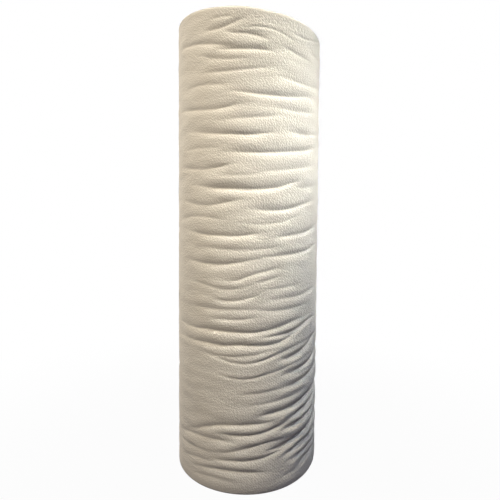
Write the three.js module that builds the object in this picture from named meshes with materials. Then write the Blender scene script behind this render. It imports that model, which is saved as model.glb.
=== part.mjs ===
// A roll of quilt batting standing on end: one long sheet of needled batting, folded double along its length
// and wound up on itself without a core. Lengths are in millimetres, +Z is up and the front faces -Y. Angles
// are in degrees and run from the front towards +X. The origin is the middle of the flat foot.
import * as THREE from 'three';

const { degToRad, euclideanModulo, lerp, smoothstep } = THREE.MathUtils;

// Driving dimensions of the sheet and of the roll
const SHEET_WIDTH = 2362;
const ROLL_HEIGHT = SHEET_WIDTH / 2;
const ROLL_RADIUS = 195;
const DOUBLE_LAYER = 4.3;

// The last turn ends in a cut edge that wanders a little as it runs up the back. The surface drops there by
// one double layer.
const LOOSE_END_ANGLE = 160;
const LOOSE_END_FALL = 1;
const LOOSE_END_WANDER = 1.8;

// The turns were wound a little askew, so the top end falls towards the front right, by so much for each
// millimetre, and the rows of the side follow it from this height up.
const TOP_SLANT = 0.129;
const SLANT_ANGLE = 51;
const SLANT_START = 900;

// The soft edges where the side rounds into the two ends. On the right the foot rolls further under.
const TOP_EDGE = 10;
const FOOT_EDGE = 8;
const FOOT_ROLL_UNDER = 13;
const EDGE_STEPS = 4;

// Above the foot the side slopes under a little, most at this angle.
const FOOT_SLOPE = 2.5;
const FOOT_SLOPE_HEIGHT = 48;
const FOOT_SLOPE_ANGLE = 35;

// The top end shows the turns in groups, as one spiral of soft ridges between grooves, around a small eye.
const RIDGE_PITCH = 30;
const RIDGE_TURNS = 5.6;
const RIDGE_MARGIN = 6;
const RIDGE_START = 0.15;
const EYE_DEPTH = 12;
const RIDGE_SECTION = [
  { across: 0, sunk: 3.2 },
  { across: 0.16, sunk: 1 },
  { across: 0.5, sunk: 0 },
  { across: 0.84, sunk: 1 },
];

// Creases in the outer turns, from the foot to the rim. Each runs from one angle to another through heights
// that are evenly spaced along it. The soft swellings beside it reach so far above and below.
const CREASES = [
  { from: -42, to: 12, heights: [50, 57, 60, 60, 57], depth: 4.5, above: 8, below: 12 },
  { from: 42, to: 75, heights: [56, 61, 63], depth: 7.5, above: 11, below: 9 },
  { from: 35, to: 76, heights: [75, 80, 84], depth: 8, above: 11, below: 9 },
  { from: 31, to: 76, heights: [92, 102, 107, 108], depth: 10.5, above: 12, below: 9 },
  { from: -24, to: 32, heights: [83, 85, 87, 92, 101, 107], depth: 4.5, above: 9, below: 11 },
  { from: -22, to: 33, heights: [102, 109, 119, 128, 132, 134], depth: 3.6, above: 10, below: 12 },
  { from: -62, to: -8, heights: [118, 128, 132, 134], depth: 4, above: 13, below: 12 },
  { from: 20, to: 86, heights: [111, 116, 123, 130, 138, 147, 154], depth: 12, above: 16, below: 8 },
  { from: -20, to: 32, heights: [150, 149, 149, 152, 158, 166, 175], depth: 4.8, above: 9, below: 11 },
  { from: -45, to: 15, heights: [142, 157, 169, 174, 176, 179], depth: 5.5, above: 14, below: 10 },
  { from: 30, to: 77, heights: [157, 160, 165, 173, 186], depth: 12, above: 12, below: 9 },
  { from: 34, to: 89, heights: [181, 186, 193, 203, 216, 226], depth: 12, above: 13, below: 9 },
  { from: 9, to: 42, heights: [198, 202, 205, 207], depth: 5, above: 10, below: 9 },
  { from: 35, to: 101, heights: [210, 214, 220, 228, 237, 246, 251], depth: 11.5, above: 14, below: 9 },
  { from: 6, to: 50, heights: [225, 232, 243], depth: 3, above: 14, below: 9 },
  { from: 29, to: 77, heights: [260, 264, 270, 278, 287], depth: 7.5, above: 14, below: 9 },
  { from: -22, to: 14, heights: [297, 291, 289, 292, 299], depth: 2, above: 4, below: 5 },
  { from: 4, to: 56, heights: [292, 299, 307, 315, 320, 328], depth: 1.9, above: 8, below: 7 },
  { from: 32, to: 98, heights: [293, 297, 303, 312, 323, 332, 336], depth: 9, above: 15, below: 9 },
  { from: 26, to: 72, heights: [331, 333, 337, 343, 351, 359, 366, 371], depth: 7.6, above: 14, below: 10 },
  { from: -26, to: 18, heights: [340, 334, 329, 327, 328, 333, 343], depth: 2.4, above: 4, below: 6 },
  {
    from: 6, to: 70, heights: [331, 336, 345, 353, 360, 364, 366, 368, 370],
    depth: 2.6, above: 8, below: 8,
  },
  {
    from: -52, to: 40, heights: [370, 370, 369, 368, 371, 369, 370, 380, 397],
    depth: 5.2, above: 13, below: 12,
  },
  { from: 10, to: 66, heights: [389, 391, 393, 397, 405, 414, 419, 421], depth: 4.6, above: 9, below: 8 },
  {
    from: -58, to: 50, heights: [405, 403, 402, 404, 403, 402, 401, 401, 406, 412, 420, 426, 430],
    depth: 4.9, above: 12, below: 12,
  },
  { from: -46, to: 6, heights: [458, 457, 456, 457, 458], depth: 2.4, above: 9, below: 11 },
  { from: 9, to: 50, heights: [455, 453, 455, 458, 462], depth: 2.1, above: 6, below: 9 },
  { from: 17, to: 70, heights: [480, 482, 483, 489, 496, 503], depth: 2.8, above: 11, below: 9 },
  { from: -16, to: 22, heights: [525, 527, 536, 544, 550, 556], depth: 2.8, above: 8, below: 8 },
  { from: -52, to: 9, heights: [573, 567, 564, 570, 579], depth: 3.2, above: 12, below: 11 },
  { from: 12, to: 66, heights: [583, 588, 596, 611], depth: 3.8, above: 11, below: 13 },
  { from: 22, to: 74, heights: [630, 636, 643, 655, 668], depth: 4.4, above: 13, below: 10 },
  { from: -50, to: 6, heights: [645, 637, 634, 632, 638], depth: 3.6, above: 14, below: 11 },
  { from: 2, to: 58, heights: [697, 694, 699, 712, 724], depth: 3.6, above: 12, below: 9 },
  { from: -58, to: -4, heights: [722, 713, 707, 712, 719], depth: 2.8, above: 12, below: 14 },
  { from: -42, to: 36, heights: [757, 748, 744, 743, 749, 765], depth: 4.8, above: 15, below: 11 },
  { from: -60, to: -10, heights: [806, 800, 795, 797, 803], depth: 3, above: 11, below: 13 },
  { from: -14, to: 62, heights: [832, 829, 831, 838, 847, 861], depth: 4.2, above: 13, below: 10 },
  { from: 30, to: 74, heights: [884, 886, 894, 905], depth: 3.4, above: 12, below: 13 },
  { from: -46, to: 18, heights: [889, 879, 873, 871, 877], depth: 4, above: 14, below: 10 },
  { from: -62, to: -6, heights: [951, 944, 937, 935, 941], depth: 3.6, above: 11, below: 12 },
  { from: -12, to: 50, heights: [972, 966, 964, 970, 982], depth: 4, above: 12, below: 10 },
  { from: 24, to: 72, heights: [1009, 1006, 1012, 1024], depth: 3, above: 12, below: 11 },
  { from: -22, to: 15, heights: [1072, 1068, 1068, 1066], depth: 3.6, above: 10, below: 9 },
  { from: -62, to: -12, heights: [1110, 1103, 1095, 1085, 1076], depth: 3.4, above: 9, below: 9 },
  { from: -18, to: 12, heights: [1111, 1105, 1103, 1099, 1092], depth: 3, above: 8, below: 9 },
  { from: -34, to: -4, heights: [1121, 1120, 1121, 1128, 1137], depth: 2.8, above: 9, below: 8 },
  { from: -2, to: 32, heights: [1117, 1118, 1117, 1111, 1103], depth: 1.8, above: 3, below: 4 },
  { from: 32, to: 70, heights: [1118, 1117, 1121, 1132, 1144], depth: 1.8, above: 3, below: 4 },
];

// Each crease runs out past its ends by a share of its length, and is full from a taper onwards. The cloth
// beside it swells by a share of its depth, over a wider reach.
const CREASE_RUN_OUT = 0.18;
const CREASE_TAPER = 0.45;
const CREASE_DEEPENING = 1.6;
const SWELL_SHARE = 0.4;
const SWELL_REACH = 2.2;

// The back and the sides are plainer, with creases spread evenly by the golden ratio.
const BACK_CREASES = { count: 38, lowest: 40, highest: 1112, firstAngle: 80, lastAngle: 285 };
const BACK_DEPTH = { least: 2.2, most: 6.8 };
const BACK_SPAN = { least: 40, most: 120 };
const BACK_REACH = { least: 8, most: 14 };
const BACK_DRIFT = 26;
const BACK_BOW = 9;
const GOLDEN_RATIO = 0.618034;

// The mesh has narrower columns at the front, and closer rows where the creases crowd.
const COLUMN_STEPS = [
  { to: 280, step: 10 },
  { to: 440, step: 5.9 },
  { to: 360 + LOOSE_END_ANGLE - LOOSE_END_FALL, step: 10 },
];
const FIRST_ROW = FOOT_EDGE + FOOT_ROLL_UNDER + 2;
const ROW_STEPS = [
  { to: 548, step: 10.4 },
  { to: 1034, step: 18 },
  { to: ROLL_HEIGHT - TOP_EDGE, step: 10.6 },
];

// The rows climb to the right as the creases do, which rise between two angles and fall again at the back.
const CLIMB = { height: 38, from: 5, to: 68, backFrom: 80, backTo: 150 };
const CLIMB_ROWS = { from: 25, to: 90, topFrom: 1000, topTo: 1100 };

// One number from 0 to 1 for each index, spread evenly.
function golden(index) {
  return euclideanModulo(index * GOLDEN_RATIO, 1);
}

function backCreases() {
  const { count, lowest, highest, firstAngle, lastAngle } = BACK_CREASES;
  const rows = [];
  for (let index = 0; index < count; index += 1) {
    const span = lerp(BACK_SPAN.least, BACK_SPAN.most, golden(3 * index + 1));
    const from = lerp(firstAngle, lastAngle - span, golden(index));
    const height = lerp(lowest, highest, (index + 0.5) / count);
    const drift = lerp(-BACK_DRIFT, BACK_DRIFT, golden(2 * index + 1));
    const depth = lerp(BACK_DEPTH.least, BACK_DEPTH.most, golden(5 * index + 2));
    const bow = lerp(-BACK_BOW, BACK_BOW, golden(9 * index + 4));
    const above = lerp(BACK_REACH.least, BACK_REACH.most, golden(4 * index + 3));
    const below = lerp(BACK_REACH.least, BACK_REACH.most, golden(6 * index + 5));
    const heights = [height, height + drift / 8 + bow, height + drift / 2 + bow, height + drift];
    rows.push({ from, to: from + span, heights, depth, above, below });
  }
  return rows;
}

const ALL_CREASES = [...CREASES, ...backCreases()];

// Height of a crease at a share of its length, on a smooth curve through its evenly spaced heights. Past its
// ends the curve runs straight on.
function heightAlong(heights, share) {
  const last = heights.length - 1;
  if (share < 0) return heights[0] + share * last * (heights[1] - heights[0]);
  if (share > 1) return heights[last] + (share - 1) * last * (heights[last] - heights[last - 1]);
  const index = Math.min(Math.floor(share * last), last - 1);
  const part = share * last - index;
  const before = heights[Math.max(index - 1, 0)];
  const near = heights[index];
  const next = heights[index + 1];
  const after = heights[Math.min(index + 2, last)];
  const slope = (next - before) / 2;
  const nextSlope = (after - near) / 2;
  const curve = 3 * (next - near) - 2 * slope - nextSlope;
  const twist = slope + nextSlope - 2 * (next - near);
  return near + part * (slope + part * (curve + part * twist));
}

// How far all the creases together draw the surface in at one place on the side.
function creaseDepth(angle, height) {
  const full = CREASE_TAPER - CREASE_RUN_OUT;
  let total = 0;
  for (const crease of ALL_CREASES) {
    const share = (euclideanModulo(angle - crease.from + 90, 360) - 90) / (crease.to - crease.from);
    if (share > -CREASE_RUN_OUT && share < 1 + CREASE_RUN_OUT) {
      const offset = height - heightAlong(crease.heights, share);
      const reach = offset > 0 ? crease.above : crease.below;
      const fade = smoothstep(share, -CREASE_RUN_OUT, full) * smoothstep(1 - share, -CREASE_RUN_OUT, full);
      const trough = Math.exp(-Math.abs(offset) / reach);
      const swelling = SWELL_SHARE * Math.exp(-((offset / (SWELL_REACH * reach)) ** 2));
      total += crease.depth * fade * (trough - swelling);
    }
  }
  return CREASE_DEEPENING * total;
}

// The spiral of the outermost turn. The radius falls by one double layer on the way from the loose end.
function turnRadius(angle) {
  const turn = euclideanModulo(angle - LOOSE_END_ANGLE, 360) / 360;
  return ROLL_RADIUS + DOUBLE_LAYER * (0.5 - turn);
}

// How far round the loose end has wandered at one height. Whole rings of the mesh turn with it.
function looseEndDrift(height) {
  const share = (Math.PI * height) / ROLL_HEIGHT;
  return LOOSE_END_WANDER * (Math.sin(3 * share) + 0.5 * Math.sin(8 * share));
}

// How far in and up the foot rounds. It rolls further under on the right.
function footEdge(angle) {
  const rightward = Math.max(Math.sin(degToRad(angle)), 0);
  return FOOT_EDGE + FOOT_ROLL_UNDER * rightward ** 2;
}

// How far the side slopes under towards the foot.
function footSlope(angle, height) {
  const forward = Math.max(Math.cos(degToRad(angle - FOOT_SLOPE_ANGLE)), 0);
  return FOOT_SLOPE * forward * Math.max(1 - height / FOOT_SLOPE_HEIGHT, 0) ** 2;
}

function topHeight(angle, radius) {
  return ROLL_HEIGHT - TOP_SLANT * radius * Math.cos(degToRad(angle - SLANT_ANGLE));
}

// Height of a mesh row at one angle. It climbs with the creases, and near the top it follows the slant.
function rowHeight(level, angle) {
  const turned = euclideanModulo(angle + 180, 360) - 180;
  const rise = smoothstep(turned, CLIMB.from, CLIMB.to) - smoothstep(turned, CLIMB.backFrom, CLIMB.backTo);
  const { from, to, topFrom, topTo } = CLIMB_ROWS;
  const share = smoothstep(level, from, to) - smoothstep(level, topFrom, topTo);
  const slant = topHeight(angle, ROLL_RADIUS) - ROLL_HEIGHT;
  return level + CLIMB.height * rise * share + slant * smoothstep(level, SLANT_START, ROLL_HEIGHT);
}

// Numbers from a start through the ends of a list of stretches, each stretch evenly divided.
function dividedStretches(start, stretches) {
  const values = [];
  let from = start;
  for (const { to, step } of stretches) {
    const count = Math.round((to - from) / step);
    for (let index = 0; index < count; index += 1) values.push(lerp(from, to, index / count));
    from = to;
  }
  values.push(from);
  return values;
}

// Points and triangles of the closed skin. Every ring and line of points runs round in the same direction,
// so that the faces between one and the next, further along from the foot to the eye, look outwards.
class Skin {
  positions = [];
  triangles = [];

  addPoint(angle, radius, height) {
    const turn = degToRad(angle);
    this.positions.push(radius * Math.sin(turn), -radius * Math.cos(turn), height);
    return this.positions.length / 3 - 1;
  }

  joinLines(line, next) {
    for (let index = 0; index < line.length - 1; index += 1) {
      this.triangles.push(line[index], line[index + 1], next[index + 1]);
      this.triangles.push(line[index], next[index + 1], next[index]);
    }
  }

  joinRings(ring, next) {
    this.joinLines([...ring, ring[0]], [...next, next[0]]);
  }

  // A fan from one point to a line that runs round it.
  addFan(point, line) {
    for (let index = 0; index < line.length - 1; index += 1) {
      this.triangles.push(line[index], line[index + 1], point);
    }
  }

  geometry() {
    const geometry = new THREE.BufferGeometry();
    geometry.setAttribute('position', new THREE.Float32BufferAttribute(this.positions, 3));
    geometry.setIndex(this.triangles);
    geometry.computeVertexNormals();
    return geometry;
  }
}

// The side, from the edge of the flat foot to the rim. Gives the first and the last ring.
function addSide(skin, angles) {
  function ringOf(driftLevel, heightAt, insetAt) {
    const drift = looseEndDrift(driftLevel);
    return angles.map((angle) => {
      const turned = angle + drift;
      const height = heightAt(turned);
      const drawnIn = insetAt(turned) + footSlope(turned, height) + creaseDepth(turned, height);
      const radius = turnRadius(angle) - drawnIn;
      return skin.addPoint(turned, radius, height);
    });
  }

  const rings = [];
  for (let step = 0; step < EDGE_STEPS; step += 1) {
    const bend = (Math.PI / 2) * (step / EDGE_STEPS);
    const heightAt = (angle) => footEdge(angle) * (1 - Math.cos(bend));
    const insetAt = (angle) => footEdge(angle) * (1 - Math.sin(bend));
    rings.push(ringOf(0, heightAt, insetAt));
  }
  for (const level of dividedStretches(FIRST_ROW, ROW_STEPS)) {
    rings.push(ringOf(level, (angle) => rowHeight(level, angle), () => 0));
  }
  for (let step = 1; step <= EDGE_STEPS; step += 1) {
    const bend = (Math.PI / 2) * (step / EDGE_STEPS);
    const level = ROLL_HEIGHT - TOP_EDGE * (1 - Math.sin(bend));
    const inset = TOP_EDGE * (1 - Math.cos(bend));
    rings.push(ringOf(ROLL_HEIGHT, (angle) => rowHeight(level, angle), () => inset));
  }
  for (let index = 0; index < rings.length - 1; index += 1) skin.joinRings(rings[index], rings[index + 1]);
  return { footRing: rings[0], rim: rings[rings.length - 1] };
}

function addFoot(skin, footRing) {
  const middle = skin.addPoint(0, 0, 0);
  skin.addFan(middle, [footRing[0], ...[...footRing].reverse()]);
}

// The top end. A line of points for each place across a ridge winds inwards, and the last place of one turn
// meets the groove of the next.
function addTopSpiral(skin, angles, rim) {
  const columns = angles.length;
  const end = Math.round(columns * RIDGE_TURNS);
  const lastTurn = end - columns;
  const spiral = [];
  for (let index = 0; index <= end; index += 1) {
    const angle = angles[index % columns];
    const turns = Math.floor(index / columns) + (angle - LOOSE_END_ANGLE) / 360;
    const outer = ROLL_RADIUS - TOP_EDGE - RIDGE_MARGIN - RIDGE_PITCH * turns;
    const deepening = smoothstep(turns, 0, RIDGE_START);
    const places = index > lastTurn ? RIDGE_SECTION.slice(0, 1) : RIDGE_SECTION;
    spiral.push(places.map(({ across, sunk }) => {
      const radius = outer - RIDGE_PITCH * across;
      return skin.addPoint(angle, radius, topHeight(angle, radius) - sunk * deepening);
    }));
  }
  const groove = spiral.map((places) => places[0]);
  for (let index = 0; index < lastTurn; index += 1) {
    const here = [...spiral[index], groove[index + columns]];
    const ahead = [...spiral[index + 1], groove[index + 1 + columns]];
    for (let place = 0; place < RIDGE_SECTION.length; place += 1) {
      skin.joinLines([here[place], ahead[place]], [here[place + 1], ahead[place + 1]]);
    }
  }

  // Between the rim and the first turn, with a fan where the spiral begins.
  skin.joinLines(rim, groove.slice(0, columns));
  skin.addFan(groove[columns - 1], [rim[columns - 1], rim[0], ...spiral[0], groove[columns]]);

  // The eye in the middle, where the winding began.
  const eye = skin.addPoint(0, 0, ROLL_HEIGHT - EYE_DEPTH);
  skin.addFan(eye, [...groove.slice(lastTurn), ...spiral[lastTurn].slice(1).reverse(), groove[lastTurn]]);
}

function rollGeometry() {
  const skin = new Skin();
  const angles = dividedStretches(LOOSE_END_ANGLE, COLUMN_STEPS);
  const { footRing, rim } = addSide(skin, angles);
  addFoot(skin, footRing);
  addTopSpiral(skin, angles, rim);
  return skin.geometry();
}

const batting = new THREE.MeshStandardMaterial({ color: 0xe6dfcc, roughness: 0.95, metalness: 0 });

const roll = new THREE.Mesh(rollGeometry(), batting);
roll.name = 'batting_roll';

const model = new THREE.Group();
model.name = 'quilt_batting_roll';
model.add(roll);

export default model;
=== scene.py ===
# The looks of a roll of quilt batting: a doubled sheet of needled cotton wound up on itself, standing on
# end. Lengths are in metres, +Z is up and the front faces -Y. Angles are in degrees and run from the front
# towards +X. Sizes that are named in millimetres are turned into metres where they are used.
import math
from collections import namedtuple

import bpy
import numpy as np
from mathutils import Matrix, Vector, noise


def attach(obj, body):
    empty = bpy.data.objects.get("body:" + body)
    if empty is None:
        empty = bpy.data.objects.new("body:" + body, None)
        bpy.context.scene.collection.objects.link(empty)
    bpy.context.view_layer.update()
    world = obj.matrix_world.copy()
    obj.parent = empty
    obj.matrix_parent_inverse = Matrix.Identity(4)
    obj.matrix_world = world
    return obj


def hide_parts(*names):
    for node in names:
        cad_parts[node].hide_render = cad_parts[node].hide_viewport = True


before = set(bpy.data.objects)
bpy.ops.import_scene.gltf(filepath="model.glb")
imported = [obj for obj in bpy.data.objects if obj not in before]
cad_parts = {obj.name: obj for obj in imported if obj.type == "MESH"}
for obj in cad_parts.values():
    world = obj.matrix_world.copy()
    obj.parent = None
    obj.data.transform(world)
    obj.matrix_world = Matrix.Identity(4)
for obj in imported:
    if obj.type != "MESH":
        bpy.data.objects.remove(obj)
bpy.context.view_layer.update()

MM = 0.001

# Driving dimensions of the sheet and of the roll
SHEET_WIDTH = 2.362
ROLL_HEIGHT = SHEET_WIDTH / 2
ROLL_RADIUS = 0.195
DOUBLE_LAYER = 0.0043

# The cut edge of the last turn wanders a little as it runs up the back, and its line is slightly ragged.
LOOSE_END_ANGLE = 160.0
LOOSE_END_WANDER = 1.8
RAGGED_DEPTH = 0.0008
RAGGED_SIZE = (0.1, 0.1, 0.012)

# Beside the cut edge the sheet lifts off unevenly, in two overlapping waves, but not at the two ends.
LIFT = 0.0024
LIFT_REACH = 0.022
LIFT_WAVES = (0.071, 0.043)
LIFT_FROM_FOOT = (0.02, 0.08)
LIFT_BELOW_TOP = 0.08

# The turns were wound a little askew, so the top end falls towards the front right, by so much for each
# metre out from the axis. The rows of the side follow it from this height up.
TOP_SLANT = 0.129
SLANT_ANGLE = 51.0
SLANT_START = 0.9

# The soft edges where the side rounds into the two ends. On the right the foot rolls further under. It
# bends in steps, up to where the rows of the side start, and is tucked in under the roll.
TOP_EDGE = 0.010
FOOT_EDGE = 0.008
FOOT_ROLL_UNDER = 0.013
FOOT_BENDS = (0, 15, 30, 45, 60, 75)
FOOT_TUCK = 0.006
SIDE_START = FOOT_EDGE + FOOT_ROLL_UNDER + 0.002

# Above the foot the side slopes under a little, most at this angle.
FOOT_SLOPE = 0.0025
FOOT_SLOPE_HEIGHT = 0.048
FOOT_SLOPE_ANGLE = 35.0

# The fold of the outer turn at the rim: how far the rounding goes before the sheet folds over, how tightly
# it folds, and how far it hangs down inside.
RIM_BEND = math.radians(37)
RIM_STEPS = (0.25, 0.5, 0.75, 1)
RIM_FOLD = 0.0011
RIM_FOLD_BENDS = (60, 100, 140, 180)
RIM_INSIDE = 0.014

# A crease runs from one angle to another through heights in millimetres, evenly spaced along it. The soft
# swellings beside it reach so far above and below, in millimetres.
Crease = namedtuple("Crease", "start end heights depth above below")
MAIN_CREASES = [
    Crease(-42, 12, (50, 57, 60, 60, 57), 4.5, 8, 12),
    Crease(42, 75, (56, 61, 63), 7.5, 11, 9),
    Crease(35, 76, (75, 80, 84), 8, 11, 9),
    Crease(31, 76, (92, 102, 107, 108), 10.5, 12, 9),
    Crease(-24, 32, (83, 85, 87, 92, 101, 107), 4.5, 9, 11),
    Crease(-22, 33, (102, 109, 119, 128, 132, 134), 3.6, 10, 12),
    Crease(-62, -8, (118, 128, 132, 134), 4, 13, 12),
    Crease(20, 86, (111, 116, 123, 130, 138, 147, 154), 12, 16, 8),
    Crease(-20, 32, (150, 149, 149, 152, 158, 166, 175), 4.8, 9, 11),
    Crease(-45, 15, (142, 157, 169, 174, 176, 179), 5.5, 14, 10),
    Crease(30, 77, (157, 160, 165, 173, 186), 12, 12, 9),
    Crease(34, 89, (181, 186, 193, 203, 216, 226), 12, 13, 9),
    Crease(9, 42, (198, 202, 205, 207), 5, 10, 9),
    Crease(35, 101, (210, 214, 220, 228, 237, 246, 251), 11.5, 14, 9),
    Crease(6, 50, (225, 232, 243), 3, 14, 9),
    Crease(29, 77, (260, 264, 270, 278, 287), 7.5, 14, 9),
    Crease(-22, 14, (297, 291, 289, 292, 299), 2, 4, 5),
    Crease(4, 56, (292, 299, 307, 315, 320, 328), 1.9, 8, 7),
    Crease(32, 98, (293, 297, 303, 312, 323, 332, 336), 9, 15, 9),
    Crease(26, 72, (331, 333, 337, 343, 351, 359, 366, 371), 7.6, 14, 10),
    Crease(-26, 18, (340, 334, 329, 327, 328, 333, 343), 2.4, 4, 6),
    Crease(6, 70, (331, 336, 345, 353, 360, 364, 366, 368, 370), 2.6, 8, 8),
    Crease(-52, 40, (370, 370, 369, 368, 371, 369, 370, 380, 397), 5.2, 13, 12),
    Crease(10, 66, (389, 391, 393, 397, 405, 414, 419, 421), 4.6, 9, 8),
    Crease(-58, 50, (405, 403, 402, 404, 403, 402, 401, 401, 406, 412, 420, 426, 430), 4.9, 12, 12),
    Crease(-46, 6, (458, 457, 456, 457, 458), 2.4, 9, 11),
    Crease(9, 50, (455, 453, 455, 458, 462), 2.1, 6, 9),
    Crease(17, 70, (480, 482, 483, 489, 496, 503), 2.8, 11, 9),
    Crease(-16, 22, (525, 527, 536, 544, 550, 556), 2.8, 8, 8),
    Crease(-52, 9, (573, 567, 564, 570, 579), 3.2, 12, 11),
    Crease(12, 66, (583, 588, 596, 611), 3.8, 11, 13),
    Crease(22, 74, (630, 636, 643, 655, 668), 4.4, 13, 10),
    Crease(-50, 6, (645, 637, 634, 632, 638), 3.6, 14, 11),
    Crease(2, 58, (697, 694, 699, 712, 724), 3.6, 12, 9),
    Crease(-58, -4, (722, 713, 707, 712, 719), 2.8, 12, 14),
    Crease(-42, 36, (757, 748, 744, 743, 749, 765), 4.8, 15, 11),
    Crease(-60, -10, (806, 800, 795, 797, 803), 3, 11, 13),
    Crease(-14, 62, (832, 829, 831, 838, 847, 861), 4.2, 13, 10),
    Crease(30, 74, (884, 886, 894, 905), 3.4, 12, 13),
    Crease(-46, 18, (889, 879, 873, 871, 877), 4, 14, 10),
    Crease(-62, -6, (951, 944, 937, 935, 941), 3.6, 11, 12),
    Crease(-12, 50, (972, 966, 964, 970, 982), 4, 12, 10),
    Crease(24, 72, (1009, 1006, 1012, 1024), 3, 12, 11),
    Crease(-22, 15, (1072, 1068, 1068, 1066), 3.6, 10, 9),
    Crease(-62, -12, (1110, 1103, 1095, 1085, 1076), 3.4, 9, 9),
    Crease(-18, 12, (1111, 1105, 1103, 1099, 1092), 3, 8, 9),
    Crease(-34, -4, (1121, 1120, 1121, 1128, 1137), 2.8, 9, 8),
    Crease(-2, 32, (1117, 1118, 1117, 1111, 1103), 1.8, 3, 4),
    Crease(32, 70, (1118, 1117, 1121, 1132, 1144), 1.8, 3, 4),
]

# Finer creases between the main ones
FINE_CREASES = [
    Crease(-44, -8, (28, 36, 34), 2, 10, 12),
    Crease(26, 50, (36, 43, 55), 2, 8, 12),
    Crease(-55, -25, (63, 72, 75), 2, 8, 10),
    Crease(-68, -26, (91, 94, 99), 2, 8, 10),
    Crease(-4, 26, (252, 255, 260), 2.2, 7, 9),
    Crease(33, 60, (283, 288, 291), 1.5, 6, 6),
    Crease(-38, 24, (348, 344, 342, 343, 347, 354, 358), 2, 7, 7),
    Crease(-27, 6, (433, 432, 433, 438), 2.5, 7, 8),
    Crease(-24, 5, (480, 477, 478, 482, 489), 2.5, 7, 8),
    Crease(-46, 0, (521, 512, 505, 511), 1.8, 8, 9),
    Crease(7, 23, (522, 528, 535), 2, 6, 7),
    Crease(18, 40, (506, 509, 513), 2, 8, 11),
    Crease(-36, 22, (606, 601, 600, 607), 1.8, 8, 10),
    Crease(-6, 40, (665, 661, 667, 684), 1.6, 9, 9),
    Crease(-60, -18, (677, 681, 679, 672), 2, 9, 10),
    Crease(38, 74, (752, 756, 765, 778), 2.6, 10, 11),
    Crease(-20, 10, (777, 776, 780), 1.5, 8, 9),
    Crease(8, 56, (787, 791, 801, 812), 2.4, 10, 9),
    Crease(-54, -22, (849, 847, 843), 1.8, 8, 10),
    Crease(-20, 26, (908, 909, 914, 921), 1.8, 8, 9),
    Crease(20, 66, (937, 936, 943, 954), 2.4, 9, 11),
    Crease(-50, -16, (999, 996, 989), 2, 8, 10),
    Crease(-34, 14, (1024, 1019, 1021, 1027), 2.6, 9, 10),
    Crease(-40, -4, (1069, 1055, 1047, 1046), 2, 8, 9),
    Crease(26, 52, (1078, 1071, 1069), 1.5, 7, 8),
    Crease(52, 70, (1090, 1091, 1091), 1.8, 7, 8),
    Crease(64, 76, (1108, 1112, 1117), 2, 6, 7),
    Crease(-28, -12, (1145, 1145, 1144), 2, 6, 7),
]

# Each crease runs out past its ends by a share of its length, and is full from a taper onwards. The cloth
# beside it swells by a share of its depth, over a wider reach. Angles up to a quarter turn before its start
# count as before it, and all others as after it.
CREASE_RUN_OUT = 0.18
CREASE_TAPER = 0.45
CREASE_DEEPENING = 1.6
SWELL_SHARE = 0.4
SWELL_REACH = 2.2
QUARTER_TURN = 90

# The back and the sides are plainer, with creases spread evenly by the golden ratio.
BACK_COUNT = 38
BACK_HEIGHTS = (40, 1112)
BACK_ANGLES = (80, 285)
BACK_DEPTHS = (2.2, 6.8)
BACK_SPANS = (40, 120)
BACK_DRIFT = 26
BACK_BOW = 9
BACK_REACHES = (8, 14)
GOLDEN_RATIO = 0.618034

# The mesh has narrower columns at the front, and ends a little way under the loose end. Its rows climb to
# the right as the creases do.
COLUMN_STRETCHES = [(280.0, 2.6), (440.0, 1.15), (526.0, 2.6)]
ROW_STEP = 0.00275
CLIMB_HEIGHT = 0.038
CLIMB_ANGLES = (5, 68, 80, 150)
CLIMB_LEVELS = (0.025, 0.090, 1.0, 1.1)

# The surface is never quite even: soft puckers, wider round the roll than they are high.
PUCKER_DEPTH = 0.0011
PUCKER_SIZE = (0.055, 0.055, 0.022)
PUCKER_FROM_FOOT = (0.012, 0.05)
PUCKER_BELOW_TOP = 0.04

# Cut edge of the doubled sheet, from under the end to its outer face: back from the end and below the face,
# in millimetres. The two layers show with a groove between them.
CUT_EDGE = [
    (3.0, 4.9), (0.9, 4.2), (0.2, 3.3), (0.5, 2.5), (1.9, 2.15),
    (0.6, 1.8), (0.1, 1.0), (0.7, 0.3), (1.9, 0),
]

# The folded turns of the top end: an upside-down U, across from its middle and below its crest, in
# millimetres. They begin one turn in from the loose end and stop at the small eye in the middle.
FOLD_SECTION = [
    (-2.12, 14), (-2.1, 3), (-1.75, 1.3), (-1.0, 0.4), (0, 0),
    (1.0, 0.4), (1.75, 1.3), (2.1, 3), (2.12, 14),
]
FOLD_COLUMNS = 144
FIRST_FOLDED_TURN = 1.0
EYE_RADIUS = 0.0065
LAST_TURN = (ROLL_RADIUS - EYE_RADIUS) / DOUBLE_LAYER - 0.5

# The crests of the folds waver, each turn a little differently from the next.
FOLD_WAVER = 0.0013
FOLD_WAVER_SIZE = (0.050, 0.050, 0.050)
FOLD_WAVER_PER_TURN = 0.06

# On the UV map each turn lies this far beside the one before it.
CLOTH_PER_TURN = 0.02

# The turns stand in groups, as one spiral of soft ridges between grooves, around a small eye.
RIDGE_PITCH = 0.030
RIDGE_MARGIN = 0.006
RIDGE_START = 0.15
RIDGE_ACROSS = (0, 0.16, 0.5, 0.84, 1)
RIDGE_SUNK = (3.2, 1, 0, 1, 3.2)
EYE_SINK = 0.011
EYE_REACH = (0.006, 0.022)

# The turns under the foot, pressed flat, with a thin line where one meets the next: across from the middle
# of a turn and above the floor, in millimetres. The outermost ones round up inside the edge of the outer
# turn.
FOOT_SECTION = [(-2.15, 1.3), (-1.7, 0.0), (1.7, 0.0), (2.15, 1.3)]
FOOT_COLUMNS = 96
FIRST_FOOT_TURN = 1.5
FOOT_TURN_INSIDE = 0.004
FOOT_TURN_CLEAR = 0.001

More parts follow.
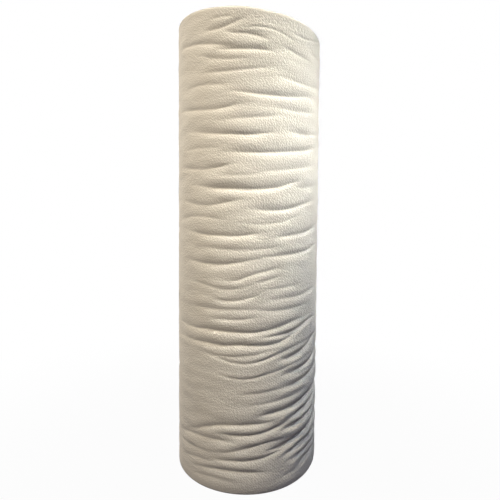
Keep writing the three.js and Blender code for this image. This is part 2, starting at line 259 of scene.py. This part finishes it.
# Where the photograph was taken from, with the lens and the sensor in millimetres
CAMERA_PLACE = (0.0, -1.1253, 0.6396)
CAMERA_TURN = math.radians(0.238)
CAMERA_DOWN = math.radians(2.414)
CAMERA_ROLL = math.radians(0.365)
CAMERA_LENS = 28.365
CAMERA_SENSOR = 36

# Cream cotton, a little deeper in some places than in others
DEEP_CREAM = (0.685, 0.635, 0.515, 1)
PALE_CREAM = (0.725, 0.68, 0.56, 1)
SHEEN_CREAM = (1.0, 0.97, 0.9, 1)
MOTTLE_SCALE = 14
PEBBLES_PER_METRE = 225
PEBBLE_TURN = 45
PEBBLE_BUMP = 0.0016
FUZZ_SCALE = 800
FUZZ_BUMP = 0.0005

# The floor glows for the camera, nearly full by the roll and full from the end of the fade outwards.
FLOOR_RADIUS = 8.0
FLOOR_POINTS = 96
FLOOR_COLOUR = (0.10, 0.09, 0.10, 1)
FLOOR_FADE = (0.3, 1.5)
FLOOR_GLOW = 0.97

# Soft lamps, each with its power in watts and the angle of its cone. A narrow cone lights one height most.
Lamp = namedtuple("Lamp", "name place target size power colour cone")
LAMPS = [
    Lamp("left_lamp", (-1.35, -1.6, 3.3), (0, 0, 0.55), 0.9, 5.0, (1.0, 0.9, 0.77), 33),
    Lamp("right_lamp", (1.12, -0.88, 2.2), (0.15, -0.1, 0.86), 0.4, 0.84, (1.0, 1.0, 1.0), 21),
    Lamp("low_right_lamp", (0.68, -0.67, 1.9), (0.15, -0.1, 0.22), 0.3, 0.52, (0.76, 0.83, 1.0), 38),
    Lamp("near_lamp", (0.6, -0.55, 1.9), (0, 0, 0.7), 0.3, 4.6, (0.96, 0.99, 1.0), 180),
    Lamp("back_left_lamp", (-1.5, 1.7, 1.5), (0, 0, 0.6), 0.8, 25, (1.0, 0.96, 0.90), 180),
    Lamp("back_right_lamp", (0.8, 1.9, 1.6), (0, 0, 0.6), 0.8, 11, (0.95, 0.97, 1.0), 180),
]
SURROUNDING_GLOW = (0.50, 0.59, 1.0, 1)
SURROUNDING_STRENGTH = 0.16


def smoothstep(value, start, end):
    """A share from 0 to 1, eased at both ends, as a value goes from the start to the end."""
    share = np.clip((value - start) / (end - start), 0, 1)
    return share * share * (3 - 2 * share)


def golden(index):
    """One number from 0 to 1 for each index, spread evenly."""
    return (index * GOLDEN_RATIO) % 1


def between(limits, share):
    """The number at a share of the way from the first limit to the second."""
    return limits[0] + (limits[1] - limits[0]) * share


def back_creases():
    """Creases for the back and the sides, from the foot to the rim."""
    rows = []
    for index in range(BACK_COUNT):
        span = between(BACK_SPANS, golden(3 * index + 1))
        start = between((BACK_ANGLES[0], BACK_ANGLES[1] - span), golden(index))
        height = between(BACK_HEIGHTS, (index + 0.5) / BACK_COUNT)
        drift = between((-BACK_DRIFT, BACK_DRIFT), golden(2 * index + 1))
        bow = between((-BACK_BOW, BACK_BOW), golden(9 * index + 4))
        depth = between(BACK_DEPTHS, golden(5 * index + 2))
        above = between(BACK_REACHES, golden(4 * index + 3))
        below = between(BACK_REACHES, golden(6 * index + 5))
        heights = (height, height + drift / 8 + bow, height + drift / 2 + bow, height + drift)
        rows.append(Crease(start, start + span, heights, depth, above, below))
    return rows


CREASES = MAIN_CREASES + FINE_CREASES + back_creases()


def height_along(heights, share):
    """Height of a crease at each share of its length: a smooth curve, straight on past both ends."""
    last = len(heights) - 1
    line = np.array(heights, float)
    inside = np.clip(share, 0, 1)
    end_slope = np.where(share < 0, line[1] - line[0], line[last] - line[last - 1])
    index = np.minimum((inside * last).astype(int), last - 1)
    part = inside * last - index
    before = line[np.maximum(index - 1, 0)]
    near = line[index]
    following = line[index + 1]
    after = line[np.minimum(index + 2, last)]
    slope = (following - before) / 2
    next_slope = (after - near) / 2
    curve = 3 * (following - near) - 2 * slope - next_slope
    twist = slope + next_slope - 2 * (following - near)
    return near + part * (slope + part * (curve + part * twist)) + end_slope * (share - inside) * last


def crease_depth(angle, height):
    """How far all the creases together draw the surface in, at each place on the side."""
    total = np.zeros(len(angle))
    for crease in CREASES:
        span = crease.end - crease.start
        share = ((angle - crease.start + QUARTER_TURN) % 360 - QUARTER_TURN) / span
        here = np.nonzero((share > -CREASE_RUN_OUT) & (share < 1 + CREASE_RUN_OUT))[0]
        share = share[here]
        offset = height[here] / MM - height_along(crease.heights, share)
        reach = np.where(offset > 0, crease.above, crease.below)
        full = CREASE_TAPER - CREASE_RUN_OUT
        fade = smoothstep(share, -CREASE_RUN_OUT, full) * smoothstep(1 - share, -CREASE_RUN_OUT, full)
        trough = np.exp(-np.abs(offset) / reach)
        swelling = SWELL_SHARE * np.exp(-(offset / (SWELL_REACH * reach)) ** 2)
        total[here] += crease.depth * MM * fade * (trough - swelling)
    return CREASE_DEEPENING * total


def loose_end_drift(level):
    """How far round the loose end has wandered at each level, in degrees."""
    share = math.pi * level / ROLL_HEIGHT
    return LOOSE_END_WANDER * (np.sin(3 * share) + 0.5 * np.sin(8 * share))


def turn_radius(angle):
    """Outer face of the outer turn, whose angle runs on from the loose end."""
    return ROLL_RADIUS + DOUBLE_LAYER * (0.5 - (angle - LOOSE_END_ANGLE) / 360)


def top_height(angle, radius):
    return ROLL_HEIGHT - TOP_SLANT * radius * np.cos(np.radians(angle - SLANT_ANGLE))


def foot_edge(angle):
    """How far in and up the foot rounds at each angle."""
    rightward = np.maximum(np.sin(np.radians(angle)), 0)
    return FOOT_EDGE + FOOT_ROLL_UNDER * rightward ** 2


def foot_slope(angle, height):
    """How far the side slopes under towards the foot."""
    forward = np.maximum(np.cos(np.radians(angle - FOOT_SLOPE_ANGLE)), 0)
    return FOOT_SLOPE * forward * (1 - np.clip(height / FOOT_SLOPE_HEIGHT, 0, 1)) ** 2


def row_height(level, angle):
    """Height of a row of the side at each angle. It climbs with the creases and follows the top's slant."""
    turned = (angle + 180) % 360 - 180
    start, end, back_start, back_end = CLIMB_ANGLES
    rise = smoothstep(turned, start, end) - smoothstep(turned, back_start, back_end)
    low, high, top_low, top_high = CLIMB_LEVELS
    share = smoothstep(level, low, high) - smoothstep(level, top_low, top_high)
    slant = top_height(angle, ROLL_RADIUS) - ROLL_HEIGHT
    return level + CLIMB_HEIGHT * rise * share + slant * smoothstep(level, SLANT_START, ROLL_HEIGHT)


def fade_at_ends(height, level, from_foot, below_top):
    """A share from 0 to 1 that fades out towards the foot and towards the top end."""
    return smoothstep(height, *from_foot) * (1 - smoothstep(level, ROLL_HEIGHT - below_top, ROLL_HEIGHT))


def soft_noise(points, size):
    """Smooth noise from -1 to 1 at each point, with one swelling for each size along the three axes."""
    scaled = points / np.array(size)
    return np.array([noise.noise(point) for point in scaled])


def deselect_all():
    if bpy.context.object and bpy.context.object.mode != "OBJECT":
        bpy.ops.object.mode_set(mode="OBJECT")
    bpy.ops.object.select_all(action="DESELECT")


def wound_sheet(name, columns, rows, place):
    """A flat sheet of so many columns and rows, wound to where place says, with a UV map in metres."""
    deselect_all()
    bpy.ops.mesh.primitive_grid_add(x_subdivisions=columns, y_subdivisions=rows, size=1, calc_uvs=True)
    sheet = bpy.context.object
    sheet.name = name
    sheet.data.name = name
    flat = np.zeros(len(sheet.data.vertices) * 3)
    sheet.data.vertices.foreach_get("co", flat)
    flat = flat.reshape(-1, 3)
    column = np.rint((flat[:, 0] + 0.5) * columns).astype(int)
    row = np.rint((flat[:, 1] + 0.5) * rows).astype(int)
    angle, radius, height, along, across = place(column, row)
    turn = np.radians(angle)
    points = np.column_stack([radius * np.sin(turn), -radius * np.cos(turn), height])
    sheet.data.vertices.foreach_set("co", points.ravel())
    corners = np.zeros(len(sheet.data.loops), int)
    sheet.data.loops.foreach_get("vertex_index", corners)
    cloth = np.column_stack([along, across])[corners]
    sheet.data.uv_layers.active.data.foreach_set("uv", cloth.ravel())
    sheet.data.uv_layers.active.name = "cloth"
    sheet.data.update()
    bpy.ops.object.shade_smooth()
    return sheet


def stretches(start, parts):
    """Numbers from a start through the ends of a list of stretches, each stretch evenly divided."""
    values = []
    for end, step in parts:
        count = round((end - start) / step)
        values += [start + (end - start) * index / count for index in range(count)]
        start = end
    return np.array(values + [start])


def make_outer_turn():
    """The outer turn, from the cut edge round to a little under it, rolled under at the foot."""
    angles = stretches(LOOSE_END_ANGLE, COLUMN_STRETCHES)
    edge_columns = len(CUT_EDGE) - 1
    back = np.array([first for first, second in CUT_EDGE]) * MM
    sunk = np.array([second for first, second in CUT_EDGE]) * MM
    columns = edge_columns + len(angles) - 1
    back = np.concatenate([back, np.zeros(len(angles) - 1)])
    sunk = np.concatenate([sunk, np.zeros(len(angles) - 1)])
    base_angle = np.concatenate([np.full(edge_columns, angles[0]), angles])

    levels = stretches(SIDE_START, [(ROLL_HEIGHT - TOP_EDGE, ROW_STEP)])
    foot_bends = np.radians(FOOT_BENDS)
    rim_bends = RIM_BEND * np.array(RIM_STEPS)
    fold_bends = np.radians(RIM_FOLD_BENDS)
    rows = len(foot_bends) + len(levels) + len(rim_bends) + len(fold_bends) + 1

    def place(column, row):
        count = len(column)
        level = np.zeros(count)
        angle = base_angle[column] + np.degrees(back[column] / ROLL_RADIUS)
        level_row = row - 1 - len(foot_bends)
        on_side = (level_row >= 0) & (level_row < len(levels))
        level[on_side] = levels[level_row[on_side]]
        level[level_row >= len(levels)] = ROLL_HEIGHT
        turned = angle + loose_end_drift(level)
        edge = foot_edge(turned)

        height = np.zeros(count)
        inset = np.zeros(count)
        height[on_side] = row_height(level[on_side], turned[on_side])
        tuck = row == 0
        inset[tuck] = edge[tuck] + FOOT_TUCK
        for index, bend in enumerate(foot_bends):
            here = row == 1 + index
            height[here] = edge[here] * (1 - math.cos(bend))
            inset[here] = edge[here] * (1 - math.sin(bend))
        rim_row = 1 + len(foot_bends) + len(levels)
        for index, bend in enumerate(rim_bends):
            here = row == rim_row + index
            height[here] = row_height(ROLL_HEIGHT - TOP_EDGE * (1 - math.sin(bend)), turned[here])
            inset[here] = TOP_EDGE * (1 - math.cos(bend))
        rim_inset = TOP_EDGE * (1 - math.cos(RIM_BEND))
        rim_level = ROLL_HEIGHT - TOP_EDGE * (1 - math.sin(RIM_BEND))
        fold_row = rim_row + len(rim_bends)
        for index, bend in enumerate(fold_bends):
            here = row == fold_row + index
            height[here] = row_height(rim_level, turned[here]) + RIM_FOLD * math.sin(bend)
            inset[here] = rim_inset + RIM_FOLD * (1 - math.cos(bend))
        inside = row == rows
        height[inside] = row_height(rim_level, turned[inside]) - RIM_INSIDE
        inset[inside] = rim_inset + 2 * RIM_FOLD

        outer = turn_radius(angle) - inset - sunk[column] - foot_slope(turned, height)
        turn = np.radians(turned)
        points = np.column_stack([outer * np.sin(turn), -outer * np.cos(turn), height])
        pucker = PUCKER_DEPTH * soft_noise(points, PUCKER_SIZE)
        pucker *= fade_at_ends(height, level, PUCKER_FROM_FOOT, PUCKER_BELOW_TOP)
        past_end = np.radians(angle - LOOSE_END_ANGLE) * ROLL_RADIUS
        uneven = 0.5 + 0.5 * np.sin(level / LIFT_WAVES[0]) * np.sin(level / LIFT_WAVES[1])
        lift = LIFT * uneven * np.exp(-past_end / LIFT_REACH) * (column > 0)
        lift *= fade_at_ends(height, level, LIFT_FROM_FOOT, LIFT_BELOW_TOP)
        radius = outer - crease_depth(turned, height) + pucker - PUCKER_DEPTH / 2 + lift
        ragged = RAGGED_DEPTH * soft_noise(points, RAGGED_SIZE) * (back[column] > 0)
        turned = turned + np.degrees(ragged / ROLL_RADIUS)
        along = np.radians(angle) * ROLL_RADIUS
        across = np.where(on_side, level, height)
        return turned, radius, height, along, across

    return wound_sheet("outer_turn", columns, rows, place)


def ridge_sink(angle, radius):
    """How far the groups of turns sink between their ridges, and the eye in the middle."""
    turns = (ROLL_RADIUS - TOP_EDGE - RIDGE_MARGIN - radius) / RIDGE_PITCH
    part = ((angle - LOOSE_END_ANGLE) % 360) / 360
    groove = np.interp((turns - part) % 1, RIDGE_ACROSS, np.array(RIDGE_SUNK) * MM)
    eye = EYE_SINK * (1 - smoothstep(radius, EYE_REACH[0], EYE_REACH[1]))
    return groove * smoothstep(turns, 0, RIDGE_START) + eye


def rim_round(radius):
    """How far the rounded rim lies below the flat of the top end."""
    over = np.clip(radius - (ROLL_RADIUS - TOP_EDGE), 0, TOP_EDGE)
    return TOP_EDGE - np.sqrt(TOP_EDGE ** 2 - over ** 2)


def make_top_turns():
    """The folded edges of all the inner turns, which show side by side on the top end."""
    columns = round((LAST_TURN - FIRST_FOLDED_TURN) * FOLD_COLUMNS)
    rows = len(FOLD_SECTION) - 1
    across_fold = np.array([first for first, second in FOLD_SECTION]) * MM
    below_crest = np.array([second for first, second in FOLD_SECTION]) * MM

    def place(column, row):
        turns = FIRST_FOLDED_TURN + column / FOLD_COLUMNS
        angle = LOOSE_END_ANGLE + 360 * turns
        middle = ROLL_RADIUS - DOUBLE_LAYER * turns
        turn = np.radians(angle)
        drift = turns * FOLD_WAVER_PER_TURN
        points = np.column_stack([middle * np.sin(turn), middle * np.cos(turn), drift])
        waver = FOLD_WAVER * soft_noise(points, FOLD_WAVER_SIZE)
        crest = top_height(angle, middle) - ridge_sink(angle, middle) - rim_round(middle)
        crest = crest + waver - FOLD_WAVER / 2
        radius = middle - across_fold[row]
        height = crest - below_crest[row]
        along = np.radians(360 * turns) * middle
        return angle, radius, height, along, across_fold[row] + turns * CLOTH_PER_TURN

    return wound_sheet("top_turns", columns, rows, place)


def make_foot_turns():
    """The turns under the foot, which the roll stands on."""
    columns = round((LAST_TURN - FIRST_FOOT_TURN) * FOOT_COLUMNS)
    rows = len(FOOT_SECTION) - 1
    across_turn = np.array([first for first, second in FOOT_SECTION]) * MM
    above_floor = np.array([second for first, second in FOOT_SECTION]) * MM

    def place(column, row):
        turns = FIRST_FOOT_TURN + column / FOOT_COLUMNS
        angle = LOOSE_END_ANGLE + 360 * turns
        middle = ROLL_RADIUS - DOUBLE_LAYER * turns
        radius = middle + across_turn[row]
        edge = foot_edge(angle)
        over = np.clip(radius + FOOT_TURN_INSIDE - (ROLL_RADIUS - FOOT_SLOPE - edge), 0, edge)
        lift = edge - np.sqrt(edge ** 2 - over ** 2) + FOOT_TURN_CLEAR * (over > 0)
        along = np.radians(360 * turns) * middle
        return angle, radius, lift + above_floor[row], along, across_turn[row] + turns * CLOTH_PER_TURN

    return wound_sheet("foot_turns", columns, rows, place)


def make_batting():
    """Natural cotton batting: cream, faintly mottled, pebbled by needle punching and finely fuzzy."""
    material = bpy.data.materials.new("needled_cotton")
    material.use_nodes = True
    nodes = material.node_tree.nodes
    links = material.node_tree.links
    shader = nodes["Principled BSDF"]
    shader.inputs["Roughness"].default_value = 0.95
    shader.inputs["Specular IOR Level"].default_value = 0.15
    shader.inputs["Sheen Weight"].default_value = 0.25
    shader.inputs["Sheen Roughness"].default_value = 0.6
    shader.inputs["Sheen Tint"].default_value = SHEEN_CREAM

    cloth = nodes.new("ShaderNodeUVMap")
    cloth.uv_map = "cloth"

    def noise_texture(scale, roughness):
        texture = nodes.new("ShaderNodeTexNoise")
        texture.inputs["Scale"].default_value = scale
        texture.inputs["Detail"].default_value = 3
        texture.inputs["Roughness"].default_value = roughness
        links.new(cloth.outputs["UV"], texture.inputs["Vector"])
        return texture.outputs["Fac"]

    mapping = nodes.new("ShaderNodeMapping")
    mapping.inputs["Rotation"].default_value = (0, 0, math.radians(PEBBLE_TURN))
    mapping.inputs["Scale"].default_value = (PEBBLES_PER_METRE, PEBBLES_PER_METRE, 1)
    links.new(cloth.outputs["UV"], mapping.inputs["Vector"])
    pebbles = nodes.new("ShaderNodeTexVoronoi")
    pebbles.feature = "SMOOTH_F1"
    pebbles.inputs["Scale"].default_value = 1
    pebbles.inputs["Smoothness"].default_value = 0.6
    pebbles.inputs["Randomness"].default_value = 0.55
    links.new(mapping.outputs["Vector"], pebbles.inputs["Vector"])

    fuzz = noise_texture(FUZZ_SCALE, 0.6)
    mottle = noise_texture(MOTTLE_SCALE, 0.5)

    ramp = nodes.new("ShaderNodeValToRGB")
    ramp.color_ramp.elements[0].position = 0.3
    ramp.color_ramp.elements[0].color = DEEP_CREAM
    ramp.color_ramp.elements[1].position = 0.7
    ramp.color_ramp.elements[1].color = PALE_CREAM
    links.new(mottle, ramp.inputs["Fac"])
    links.new(ramp.outputs["Color"], shader.inputs["Base Color"])

    pebble_bump = nodes.new("ShaderNodeBump")
    pebble_bump.invert = True
    pebble_bump.inputs["Strength"].default_value = 0.7
    pebble_bump.inputs["Distance"].default_value = PEBBLE_BUMP
    links.new(pebbles.outputs["Distance"], pebble_bump.inputs["Height"])
    fuzz_bump = nodes.new("ShaderNodeBump")
    fuzz_bump.inputs["Strength"].default_value = 0.6
    fuzz_bump.inputs["Distance"].default_value = FUZZ_BUMP
    links.new(fuzz, fuzz_bump.inputs["Height"])
    links.new(pebble_bump.outputs["Normal"], fuzz_bump.inputs["Normal"])
    links.new(fuzz_bump.outputs["Normal"], shader.inputs["Normal"])
    return material


def make_floor():
    """A pale floor that glows for the camera alone, so that it runs out into the white surroundings."""
    deselect_all()
    bpy.ops.mesh.primitive_circle_add(vertices=FLOOR_POINTS, radius=FLOOR_RADIUS, fill_type="NGON")
    floor = bpy.context.object
    floor.name = "floor"
    material = bpy.data.materials.new("pale_floor")
    material.use_nodes = True
    nodes = material.node_tree.nodes
    links = material.node_tree.links
    shader = nodes["Principled BSDF"]
    shader.inputs["Base Color"].default_value = FLOOR_COLOUR
    shader.inputs["Roughness"].default_value = 0.9
    glow = nodes.new("ShaderNodeEmission")
    place = nodes.new("ShaderNodeTexCoord")
    distance = nodes.new("ShaderNodeVectorMath")
    distance.operation = "LENGTH"
    fade = nodes.new("ShaderNodeMapRange")
    fade.interpolation_type = "SMOOTHSTEP"
    fade.inputs["From Min"].default_value = FLOOR_FADE[0]
    fade.inputs["From Max"].default_value = FLOOR_FADE[1]
    fade.inputs["To Min"].default_value = FLOOR_GLOW
    path = nodes.new("ShaderNodeLightPath")
    seen = nodes.new("ShaderNodeMath")
    seen.operation = "MULTIPLY"
    mix = nodes.new("ShaderNodeMixShader")
    links.new(place.outputs["Object"], distance.inputs[0])
    links.new(distance.outputs["Value"], fade.inputs["Value"])
    links.new(fade.outputs["Result"], seen.inputs[0])
    links.new(path.outputs["Is Camera Ray"], seen.inputs[1])
    links.new(seen.outputs["Value"], mix.inputs["Fac"])
    links.new(shader.outputs["BSDF"], mix.inputs[1])
    links.new(glow.outputs["Emission"], mix.inputs[2])
    links.new(mix.outputs["Shader"], nodes["Material Output"].inputs["Surface"])
    floor.data.materials.append(material)


def add_lamp(lamp):
    bpy.ops.object.light_add(type="AREA", location=lamp.place)
    light = bpy.context.object
    light.name = lamp.name
    light.rotation_mode = "QUATERNION"
    light.rotation_quaternion = (Vector(lamp.target) - Vector(lamp.place)).to_track_quat("-Z", "Y")
    light.data.shape = "DISK"
    light.data.size = lamp.size
    light.data.energy = lamp.power
    light.data.color = lamp.colour
    light.data.spread = math.radians(lamp.cone)
    light.visible_camera = False


def make_lights():
    """Warm light from the upper left, whiter light from close above on the right, and two lamps behind."""
    deselect_all()
    for lamp in LAMPS:
        add_lamp(lamp)
    world = bpy.data.worlds.new("studio")
    bpy.context.scene.world = world
    world.use_nodes = True
    nodes = world.node_tree.nodes
    links = world.node_tree.links
    soft = nodes["Background"]
    soft.inputs["Color"].default_value = SURROUNDING_GLOW
    soft.inputs["Strength"].default_value = SURROUNDING_STRENGTH
    white = nodes.new("ShaderNodeBackground")
    white.inputs["Color"].default_value = (1, 1, 1, 1)
    path = nodes.new("ShaderNodeLightPath")
    mix = nodes.new("ShaderNodeMixShader")
    links.new(path.outputs["Is Camera Ray"], mix.inputs["Fac"])
    links.new(soft.outputs["Background"], mix.inputs[1])
    links.new(white.outputs["Background"], mix.inputs[2])
    links.new(mix.outputs["Shader"], nodes["World Output"].inputs["Surface"])
    bpy.context.scene.view_settings.view_transform = "Standard"


def make_camera():
    deselect_all()
    bpy.ops.object.camera_add(location=CAMERA_PLACE)
    camera = bpy.context.object
    camera.name = "camera"
    turned = Matrix.Rotation(-CAMERA_TURN, 4, "Z")
    tilted = Matrix.Rotation(math.pi / 2 - CAMERA_DOWN, 4, "X")
    rolled = Matrix.Rotation(CAMERA_ROLL, 4, "Z")
    camera.matrix_world = Matrix.Translation(CAMERA_PLACE) @ turned @ tilted @ rolled
    camera.data.lens = CAMERA_LENS
    camera.data.sensor_width = CAMERA_SENSOR
    bpy.context.scene.camera = camera


def dress_roll():
    batting = make_batting()
    for piece in (make_outer_turn(), make_top_turns(), make_foot_turns()):
        piece.data.materials.append(batting)
        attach(piece, "root")
        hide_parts("batting_roll")


make_camera()
dress_roll()
make_floor()
make_lights()
